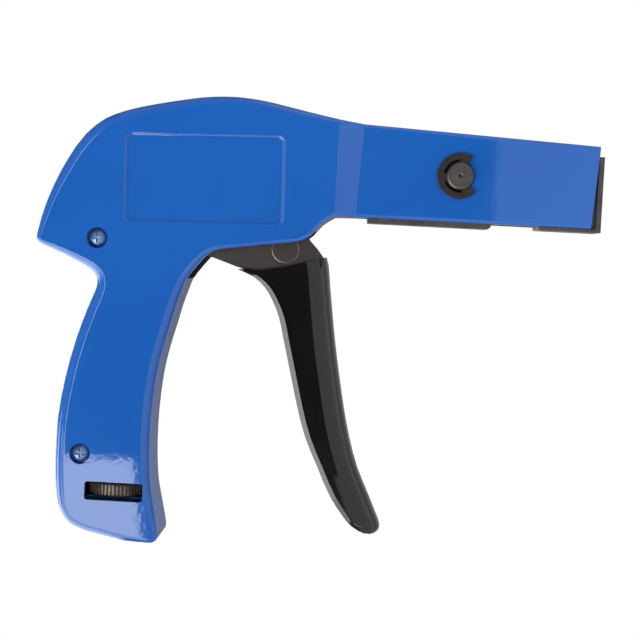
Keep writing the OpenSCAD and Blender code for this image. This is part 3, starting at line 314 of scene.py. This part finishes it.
def gloss_paint(name, thick, thin, roughness, peel, height, recess=None, shaded_ring=None):
    """Sprayed gloss paint: orange peel, a few dust nibs, thinner colour here and there, and a ring of
    painted shade if one is given.
    """
    material, nodes, links, surface, place = new_material(name, roughness)
    clouds = noise(nodes, links, place, paint_cloud, 3.0)
    colour = ramp(nodes, links, clouds, [(0.35, thick), (0.7, thin)])
    # a ring of painted shade darkens the paint where shadow falls between parts
    if shaded_ring:
        colour = blend(nodes, links, within(nodes, links, place, *shaded_ring), colour, painted_shade_black)
    links.new(colour, surface.inputs["Base Color"])
    uneven = noise(nodes, links, place, paint_unevenness, 3.0)
    links.new(spread(nodes, links, uneven, roughness * 0.85, roughness * 1.2),
              surface.inputs["Roughness"])
    skin = relief(nodes, links, noise(nodes, links, place, peel, 1.5, 0.4), height)
    fine_peel = noise(nodes, links, place, peel * fine_peel_scale, 1.0)
    fine = relief(nodes, links, fine_peel, height * fine_peel_height, skin)
    nibs = nodes.new("ShaderNodeTexVoronoi")
    nibs.feature = "F1"
    nibs.inputs["Scale"].default_value = nib_scale
    links.new(place, nibs.inputs["Vector"])
    dust = ramp(nodes, links, nibs.outputs["Distance"], [(0.0, (1.0,) * 3), (0.05, (0.0,) * 3)])
    finished = relief(nodes, links, dust, nib_height, fine)
    if recess:
        rim = softened_recess(nodes, links, place, *recess)
        finished = relief(nodes, links, rim, rim_fall, finished)
    links.new(finished, surface.inputs["Normal"])
    return material


# the label recess of the right casting, whose rim the paint rounds off
recess_centre = (-116.52 * MM, -11 * MM, -0.43 * MM)
recess_half_length = 23.1 * MM
recess_half_height = 12.75 * MM
recess_corner = 2 * MM
recess_tilt = math.radians(1.6)
rim_width = 0.52 * MM
label_recess = (recess_centre, recess_half_length, recess_half_height, recess_corner, recess_tilt,
                rim_width)
# painted shade: the paint darkens in a ring round the stud, where the gaps of the clip fall in shadow, a
# little further back than its axis
stud_low, stud_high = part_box("barrel_stud")
stud_centre = (stud_low + stud_high) / 2
shaded_ring_back = Vector((0.7 * MM, 0.0, 0.0))
shaded_ring_radius = 5.1 * MM
shaded_ring_core = 0.93
shaded_ring_edge = 0.99
stud_shaded_ring = (stud_centre - shaded_ring_back, shaded_ring_radius, shaded_ring_core, shaded_ring_edge)
blue_paint = gloss_paint("blue paint", blue, blue_thin, blue_roughness, peel_scale, peel_height,
                         label_recess, stud_shaded_ring)

# bare zinc inside, with a breath of overspray and the grain of the die, its colour darkened almost to
# black as painted shade of the hollows
shaded_zinc_dark = (0.012, 0.018, 0.035)
shaded_zinc_pale = (0.03, 0.038, 0.06)
zinc_cloud = 180.0
zinc_grain = 1500.0
zinc_grain_height = 0.01 * MM
shaded_bare_zinc, zinc_nodes, zinc_links, zinc_surface, zinc_place = new_material("bare zinc in painted shade", 0.6, 0.35)
zinc_clouds = noise(zinc_nodes, zinc_links, zinc_place, zinc_cloud, 4.0)
zinc_links.new(ramp(zinc_nodes, zinc_links, zinc_clouds, [(0.3, shaded_zinc_dark), (0.7, shaded_zinc_pale)]),
               zinc_surface.inputs["Base Color"])
zinc_grains = noise(zinc_nodes, zinc_links, zinc_place, zinc_grain)
zinc_links.new(relief(zinc_nodes, zinc_links, zinc_grains, zinc_grain_height),
               zinc_surface.inputs["Normal"])

# a face inside has another wall within this reach of it, found by a look from just above the face,
# and a screw's pocket lies within its own reach of the screw's axis
wall_reach = 24 * MM
face_lift = 0.02 * MM
pocket_reach = 4.5 * MM
screw_points = [point.co for point in frame["nodes"]["housing_screws"].data.vertices]
between_screws = (min(point.z for point in screw_points) + max(point.z for point in screw_points)) / 2
screw_axes = []
for upper in (False, True):
    own = [point for point in screw_points if (point.z > between_screws) == upper]
    middle_x = (min(point.x for point in own) + max(point.x for point in own)) / 2
    middle_z = (min(point.z for point in own) + max(point.z for point in own)) / 2
    screw_axes.append(Vector((middle_x, 0.0, middle_z)))


def nearest_screw(place):
    """The point on the middle plane where the axis of the nearest screw passes."""
    flat_place = Vector((place.x, 0.0, place.z))
    return min(screw_axes, key=lambda axis_point: (flat_place - axis_point).length)


for casting_node, casting_name, outward in (("right_housing", "right_casting", -1),
                                            ("left_housing", "left_casting", 1)):
    casting = worked_copy(casting_node, casting_name, casting_lip, flat=0.2,
                          creases=(front_fold, back_fold))
    set_on(casting, casting_node, blue_paint)
    casting.data.materials.append(shaded_bare_zinc)
    # a face is inside if it looks towards the parting plane, or at another wall close by, and takes the
    # dark zinc as painted shade; the pockets of the screw heads are painted with the outside
    for face in casting.data.polygons:
        start = face.center + face.normal * face_lift
        faces_in = face.normal.y * outward < -0.5
        from_screw = Vector((face.center.x, 0.0, face.center.z)) - nearest_screw(face.center)
        in_pocket = outward < 0 and face.center.y < -side_from and from_screw.length < pocket_reach
        if faces_in or (not in_pocket and casting.ray_cast(start, face.normal, distance=wall_reach)[0]):
            face.material_index = 1


# The two screws
# Cross-head pan screws, zinc plated to a bluish bright steel, sunk in round pockets of the right
# casting. The plating is a little dull and cloudy.
tarnish_cloud = 300.0
zinc_plate = (0.20, 0.33, 0.56)
screw_lip = 0.1 * MM


def steel(name, colour, roughness, dark_share, grain=1500.0, streaks=(1.0, 1.0, 1.0), height=0.003 * MM,
          metallic=0.9):
    """Worked steel: a slightly cloudy colour, fine grain drawn out along one way, and uneven gloss."""
    material, nodes, links, surface, place = new_material(name, roughness, metallic)
    dark = tuple(part * dark_share for part in colour)
    tarnish = noise(nodes, links, place, tarnish_cloud, 4.0, 0.6)
    links.new(ramp(nodes, links, tarnish, [(0.3, dark), (0.66, colour)]), surface.inputs["Base Color"])
    drawn = noise(nodes, links, stretch(nodes, links, place, streaks), grain, 3.0, 0.6)
    links.new(spread(nodes, links, drawn, roughness * 0.75, roughness * 1.3), surface.inputs["Roughness"])
    links.new(relief(nodes, links, drawn, height), surface.inputs["Normal"])
    return material


zinc_steel = steel("zinc plated steel", zinc_plate, roughness=0.42, dark_share=0.55)
screws = worked_copy("housing_screws", "casting_screws", screw_lip)
# each is turned on its own axis until its cross stands upright
cross_turn = Matrix.Rotation(math.radians(45), 4, "Y")
for point in screws.data.vertices:
    axis_point = nearest_screw(point.co)
    point.co = axis_point + cross_turn @ (point.co - axis_point)
set_on(screws, "housing_screws", zinc_steel)


# The nose plate and the guide strip
# The plate closes the front of the barrel and turns back under it. The strip below the barrel
# carries the gripper. Both are cut from sheet and chemically blackened, so they stay satin.
blackened = (0.085, 0.074, 0.078)
sheet_lip = 0.12 * MM
black_steel = steel("blackened sheet steel", blackened, roughness=0.42, dark_share=0.6, grain=900.0,
                    streaks=(1.0, 1.0, 6.0), height=0.004 * MM, metallic=0.55)
for plate_node, plate_name in (("nose_plate", "nose_cap"), ("guide_rail", "guide_strip")):
    plate = worked_copy(plate_node, plate_name, sheet_lip)
    set_on(plate, plate_node, black_steel)


# The cross stud and its clip
# A turned stud goes through the barrel from the left, and a spring clip snaps into the groove at
# its right end. The end face keeps the fine rings of the lathe tool, round its centre mark.
stud_face = (0.105, 0.092, 0.088)
stud_lip = 0.3 * MM
stud_rings = 0.45 * MM
ring_height = 0.004 * MM
lathe_cloud = 420.0
lathe_unevenness = 700.0
rim_highlight_from = 0.94
rim_highlight_gain = 11
clip_face = (0.032, 0.027, 0.027)
clip_lip = 0.12 * MM
# the pattern of rings turns by this many radians in each unit of its own length
ring_turn = 20.0


def turned_steel(name, colour, roughness, centre, ring_pitch, rim=None, dark_share=0.62):
    """Lathe-turned steel: rings round an axis along Y, with clouded colour and a painted highlight round
    its rim.
    """
    material, nodes, links, surface, place = new_material(name, roughness, 0.8)
    dark = tuple(part * dark_share for part in colour)
    clouds = noise(nodes, links, place, lathe_cloud, 4.0, 0.6)
    cloudy = ramp(nodes, links, clouds, [(0.3, dark), (0.68, colour)])
    if rim:
        # the bright ring at the rim is a painted highlight
        rim_highlight_share = within(nodes, links, place, centre, rim, 1.0, rim_highlight_from)
        painted_rim_highlight = tuple(min(1.0, part * rim_highlight_gain) for part in colour)
        cloudy = blend(nodes, links, rim_highlight_share, cloudy, painted_rim_highlight)
    links.new(cloudy, surface.inputs["Base Color"])
    rings = nodes.new("ShaderNodeTexWave")
    rings.wave_type = "RINGS"
    rings.rings_direction = "Y"
    rings.inputs["Scale"].default_value = 1.0 / (ring_pitch * ring_turn) * 2 * math.pi
    rings.inputs["Distortion"].default_value = 0.6
    rings.inputs["Detail"].default_value = 2.0
    links.new(stretch(nodes, links, place, (1.0, 1.0, 1.0), centre=tuple(centre)), rings.inputs["Vector"])
    links.new(relief(nodes, links, rings.outputs["Fac"], ring_height), surface.inputs["Normal"])
    uneven = noise(nodes, links, place, lathe_unevenness, 3.0)
    links.new(spread(nodes, links, uneven, roughness * 0.8, roughness * 1.25),
              surface.inputs["Roughness"])
    return material


stud_steel = turned_steel("turned dark steel", stud_face, roughness=0.4, centre=stud_centre,
                          ring_pitch=stud_rings)
stud = worked_copy("barrel_stud", "cross_stud", stud_lip)
set_on(stud, "barrel_stud", stud_steel)
clip_steel = steel("oiled spring clip steel", clip_face, roughness=0.32, dark_share=0.6, grain=1100.0,
                   metallic=0.5)
clip = worked_copy("e_clip", "snap_clip", clip_lip)
set_on(clip, "e_clip", clip_steel)


# The trigger handle
# A channel pressed from sheet steel, open to the rear, with its rear edges turned outwards. It is
# sprayed gloss black, thick enough that the front corners stay soft.
black = (0.0060, 0.0048, 0.0052)
black_thin = (0.0082, 0.0066, 0.0072)
black_roughness = 0.1
black_peel = 560.0
black_peel_height = 0.0006 * MM
shell_lip = 0.36 * MM
black_paint = gloss_paint("black paint", black, black_thin, black_roughness, black_peel,
                          black_peel_height)
handle = worked_copy("trigger_handle", "trigger_shell", shell_lip, smooth=40.0, flat=0.05)
set_on(handle, "trigger_handle", black_paint)


# The trigger plates
# Two stamped side plates carry the handle and turn on the pivot pin. They are left in a satin brownish
# grey, and the riveted pin end beside them is of the same steel, with a painted highlight round its rim.
brown = (0.053, 0.043, 0.043)
rivet_brown = (0.060, 0.050, 0.049)
plate_lip = 0.1 * MM
rivet_lip = 0.32 * MM
rivet_rings = 0.5 * MM
brown_steel = steel("satin brown steel", brown, roughness=0.36, dark_share=0.72, grain=700.0,
                    streaks=(1.0, 1.0, 5.0), height=0.004 * MM, metallic=0.6)
plates = worked_copy("trigger_lever", "trigger_plates", plate_lip)
set_on(plates, "trigger_lever", brown_steel)
rivet_low, rivet_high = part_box("link_pin")
rivet_centre = (rivet_low + rivet_high) / 2
rivet_radius = (rivet_high.x - rivet_low.x) / 2
rivet_steel = turned_steel("turned brown steel", rivet_brown, roughness=0.34, centre=rivet_centre,
                           ring_pitch=rivet_rings, rim=rivet_radius, dark_share=0.85)
rivet = worked_copy("link_pin", "plate_rivet", rivet_lip)
set_on(rivet, "link_pin", rivet_steel)


# The mechanism inside
# Stamped levers, turned pins and the carriage that grips the tie. They are plain oiled steel, and
# show only through the window under the barrel and the gap above the trigger.
oiled_grey = (0.235, 0.232, 0.24)
blade_grey = (0.40, 0.42, 0.46)
oiled_steel = steel("oiled steel", oiled_grey, roughness=0.34, dark_share=0.7, grain=1000.0)
# how far the edges of each are broken, in millimetres
inner_lips = {
    "trigger_pivot_pin": 0.12, "pull_link": 0.1, "link_front_pin": 0.1, "gripper_carriage": 0.12,
    "gripper_pawl": 0.08, "pawl_pin": 0.08, "blade_lever": 0.1, "cutoff_bar": 0.1, "load_lever": 0.1,
    "load_lever_pin": 0.1, "tension_links": 0.1, "upper_tension_pin": 0.1, "lower_tension_pin": 0.1,
    "nut_pin": 0.1, "tension_screw": 0.0,
}
for inner_node, lip in inner_lips.items():
    inner = worked_copy(inner_node, "oiled_" + inner_node, lip * MM)
    set_on(inner, inner_node, oiled_steel)
blade_steel = steel("ground blade steel", blade_grey, roughness=0.2, dark_share=0.8, grain=1800.0,
                    streaks=(1.0, 1.0, 8.0), height=0.002 * MM)
cutter = worked_copy("blade", "ground_blade")
set_on(cutter, "blade", blade_steel)


# The springs
# Coils of drawn wire with hooked ends, or a plain compression spring. The wire is bright, with the
# fine marks of the die that it was pulled through.
wire_grey = (0.30, 0.30, 0.32)
wire_steel = steel("drawn spring wire", wire_grey, roughness=0.28, dark_share=0.75, grain=2200.0,
                   height=0.002 * MM)
for spring_node in ("trigger_spring", "pawl_spring", "blade_spring", "tension_spring"):
    spring = worked_copy(spring_node, "drawn_" + spring_node, smooth=50.0)
    set_on(spring, spring_node, wire_steel)


# The tension nut and wheel
# A brass nut climbs the screw as the ribbed wheel is turned with a finger through its slot. The
# wheel's steel has darkened unevenly in use.
brass_yellow = (0.50, 0.36, 0.13)
wheel_brown = (0.19, 0.16, 0.14)
nut_lip = 0.12 * MM
rib_lip = 0.08 * MM
brass = steel("turned brass", brass_yellow, roughness=0.3, dark_share=0.75, grain=900.0)
nut = worked_copy("tension_nut", "brass_nut", nut_lip)
set_on(nut, "tension_nut", brass)
wheel_steel = steel("ribbed wheel steel", wheel_brown, roughness=0.42, dark_share=0.5, grain=1200.0,
                    streaks=(1.0, 1.0, 4.0), height=0.005 * MM, metallic=0.75)
wheel = worked_copy("tension_wheel", "ribbed_wheel", rib_lip)
set_on(wheel, "tension_wheel", wheel_steel)


# The camera
# It looks square at the right side, a little above the middle, and leans so that the barrel dips
# three degrees, as in the photograph.
camera_place = Vector((-71.3, -420.0, -21.8)) * MM
aim = Vector((-80.9, 0.0, -40.3)) * MM
lean = math.radians(3.0)
camera_data = bpy.data.cameras.new("camera")
camera_data.sensor_width = 36.0
camera_data.lens = 78.75
camera_data.clip_start = 0.01
camera = bpy.data.objects.new("camera", camera_data)
bpy.context.scene.collection.objects.link(camera)
forward = (aim - camera_place).normalized()
across = forward.cross(Vector((-math.sin(lean), 0.0, math.cos(lean)))).normalized()
upward = across.cross(forward)
camera.matrix_world = Matrix.Translation(camera_place) @ Matrix(
    (across, upward, -forward)).transposed().to_4x4()
bpy.context.scene.camera = camera


# The floor
# A plain pale sheet well under the tool. The camera sees it as white, with a faint shadow, and the
# gloss of the paint mirrors the room in its place.
floor_drop = 420 * MM
floor_radius = 0.7
paper_colour = (0.86, 0.86, 0.87, 1.0)
white = (1.0, 1.0, 1.0, 1.0)
# how far the camera sees the sheet as pure white, and not as lit paper
white_share = 0.9
bpy.ops.mesh.primitive_circle_add(vertices=96, radius=floor_radius, fill_type="NGON",
                                  location=(aim.x, 0.0, cad_box[0][2] - floor_drop))
floor = bpy.context.active_object
floor.name = "floor"
floor_paper = bpy.data.materials.new("floor paper")
floor_paper.use_nodes = True
paper = floor_paper.node_tree
paper_surface = paper.nodes["Principled BSDF"]
paper_surface.inputs["Base Color"].default_value = paper_colour
paper_surface.inputs["Roughness"].default_value = 0.85
white_sheet = paper.nodes.new("ShaderNodeEmission")
white_sheet.inputs["Color"].default_value = white
white_sheet.inputs["Strength"].default_value = 1.0
paper_rays = paper.nodes.new("ShaderNodeLightPath")
paper_share = paper.nodes.new("ShaderNodeMath")
paper_share.operation = "MULTIPLY"
paper_share.inputs[1].default_value = white_share
paper_mix = paper.nodes.new("ShaderNodeMixShader")
paper.links.new(paper_rays.outputs["Is Camera Ray"], paper_share.inputs[0])
paper.links.new(paper_share.outputs["Value"], paper_mix.inputs["Fac"])
paper.links.new(paper_surface.outputs["BSDF"], paper_mix.inputs[1])
paper.links.new(white_sheet.outputs["Emission"], paper_mix.inputs[2])
paper.links.new(paper_mix.outputs["Shader"], paper.nodes["Material Output"].inputs["Surface"])
floor.data.materials.append(floor_paper)
floor.visible_glossy = False


# The light
# A pale room stands all round, with a dark opening straight ahead that keeps the flat side a deep
# blue. Bright cards beside and below the opening give the pale patch at the foot of the grip and
# the bright lines along the edges. One wide lamp overhead gives the form some shade.
bpy.context.scene.view_settings.view_transform = "Standard"
world = bpy.data.worlds.new("studio")
bpy.context.scene.world = world
world.use_nodes = True
room = world.node_tree
room_light = room.nodes["Background"]
direction = room.nodes.new("ShaderNodeTexCoord")
axes = room.nodes.new("ShaderNodeSeparateXYZ")
room.links.new(direction.outputs["Generated"], axes.inputs["Vector"])


def room_math(operation, first, second=None, clamp=False):
    """One step of arithmetic on the room's directions."""
    step = room.nodes.new("ShaderNodeMath")
    step.operation = operation
    step.use_clamp = clamp
    for socket, value in zip(step.inputs, (first, second)):
        if value is None:
            continue
        if isinstance(value, (int, float)):
            socket.default_value = value
        else:
            room.links.new(value, socket)
    return step.outputs["Value"]


def rises(value, start, softness):
    """0 before a start and 1 after it, over a soft edge."""
    return room_math("DIVIDE", room_math("SUBTRACT", value, start), softness, clamp=True)


def falls(value, end, softness):
    """1 before an end and 0 after it, over a soft edge."""
    return room_math("SUBTRACT", 1.0, rises(value, end, softness))


# slopes sideways and upwards as seen from the tool, with the divisor kept off zero
least_depth = 0.02
depth = room_math("MAXIMUM", room_math("ABSOLUTE", axes.outputs["Y"]), least_depth)
side = room_math("DIVIDE", axes.outputs["X"], depth)
height = room_math("DIVIDE", axes.outputs["Z"], depth)


def window(left, right, low, high, softness):
    """1 inside a window of the slopes sideways and upwards, and 0 outside it."""
    wide = room_math("MULTIPLY", rises(side, left, softness), falls(side, right, softness))
    tall = room_math("MULTIPLY", rises(height, low, softness), falls(height, high, softness))
    return room_math("MULTIPLY", wide, tall)


def lit(part, level):
    """A part of the room at a level, where 1 is white."""
    return room_math("MULTIPLY", part, level)


# the levels of the walls and cards, and how much of the wall's light the opening takes away
wall_level = 0.32
rear_level = 0.34
right_level = 0.62
near_level = 1.8
low_level = 2.6
lower_level = 3.8
card_level = 6.4
opening_loss = 0.94
# the slopes at which each card and the opening begin and end: left, right, low and high
far = 60.0
opening_right = 0.095
patch_top = -0.153
patch_right = -0.156
cards_left = -1.6
cards_foot = -1.1
opening_slopes = (-0.38, opening_right, patch_top, 0.34)
patch_slopes = (-0.34, -0.13, -0.34, patch_top)
near_slopes = (cards_left, patch_right, cards_foot, patch_top)
lower_slopes = (cards_left, patch_right, cards_foot, -0.3)
steep_slopes = (-far, -0.2, -far, cards_foot)
left_slopes = (-0.47, -0.36, -0.45, 0.3)
low_slopes = (-0.52, 0.55, -0.56, -0.46)
right_slopes = (opening_right, far, -far, far)
# how soft their edges are
crisp = 0.002
clear = 0.02
soft = 0.03
faint = 0.1
# the right edges of the patch card and the steep card lean
patch_lean = 0.14
patch_edge_place = -0.174
steep_lean = 0.3
# behind the tool, the right card shows only at a glancing angle, and the wall's right half is lit
# again over a wide edge
glancing_from = 2.5
glancing_fade = 1.0
rear_fade = 0.4

in_front = room_math("LESS_THAN", axes.outputs["Y"], 0.0)
opening = room_math("MULTIPLY", window(*opening_slopes, crisp), in_front)
leaning_side = room_math("ADD", side, room_math("MULTIPLY", height, patch_lean))
patch_edge = falls(leaning_side, patch_edge_place, crisp)
patch_card = room_math("MULTIPLY", window(*patch_slopes, crisp), patch_edge)
near_card = window(*near_slopes, crisp)
steep_side = room_math("SUBTRACT", room_math("MULTIPLY", height, steep_lean), side)
steep_card = room_math("MULTIPLY", window(*steep_slopes, faint), rises(steep_side, 0.0, faint))
lower_card = window(*lower_slopes, soft)
left_card = window(*left_slopes, clear)
low_card = window(*low_slopes, clear)
right_card = room_math("MULTIPLY", window(*right_slopes, crisp),
                       room_math("MAXIMUM", in_front, rises(side, glancing_from, glancing_fade)))
bright = room_math("MAXIMUM", left_card, room_math("MAXIMUM", patch_card, steep_card))
cards = lit(bright, card_level)
for card, level in ((low_card, low_level), (lower_card, lower_level), (near_card, near_level)):
    cards = room_math("MAXIMUM", cards, lit(card, level))

# the wall ahead is twice as bright as the one behind, apart from the lit right half behind
half_wall = wall_level * 0.5
rear_right = room_math("MULTIPLY", rises(side, 0.0, rear_fade), room_math("SUBTRACT", 1.0, in_front))
room_wall = room_math("ADD", room_math("ADD", lit(in_front, half_wall), half_wall),
                      lit(rear_right, rear_level))
walls = room_math("MULTIPLY", room_wall, room_math("SUBTRACT", 1.0, lit(opening, opening_loss)))
room_level = room_math("ADD", room_math("ADD", walls, lit(right_card, right_level)), cards)
room.links.new(room_level, room_light.inputs["Strength"])
room_light.inputs["Color"].default_value = white

# the camera sees a white backdrop in the room's place
backdrop_light = room.nodes.new("ShaderNodeBackground")
backdrop_light.inputs["Color"].default_value = white
backdrop_light.inputs["Strength"].default_value = 1.0
room_rays = room.nodes.new("ShaderNodeLightPath")
room_mix = room.nodes.new("ShaderNodeMixShader")
room.links.new(room_rays.outputs["Is Camera Ray"], room_mix.inputs["Fac"])
room.links.new(room_light.outputs["Background"], room_mix.inputs[1])
room.links.new(backdrop_light.outputs["Background"], room_mix.inputs[2])
room.links.new(room_mix.outputs["Shader"], room.nodes["World Output"].inputs["Surface"])


def soft_lamp(name, place, target, width, tall, level):
    """A rectangular lamp aimed at a point, as bright all over as a share of the white room."""
    lamp_data = bpy.data.lights.new(name, "AREA")
    lamp_data.shape = "RECTANGLE"
    lamp_data.size = width
    lamp_data.size_y = tall
    lamp_data.energy = level * math.pi * width * tall
    lamp = bpy.data.objects.new(name, lamp_data)
    bpy.context.scene.collection.objects.link(lamp)
    lamp.location = place
    toward = Vector(target) - Vector(place)
    lamp.rotation_euler = toward.to_track_quat("-Z", "Y").to_euler()


lamp_height = 0.9
lamp_size = 1.1
lamp_level = 0.34
soft_lamp("overhead lamp", Vector((aim.x, 0.0, lamp_height)), Vector((aim.x, 0.0, 0.0)),
          lamp_size, lamp_size, lamp_level)
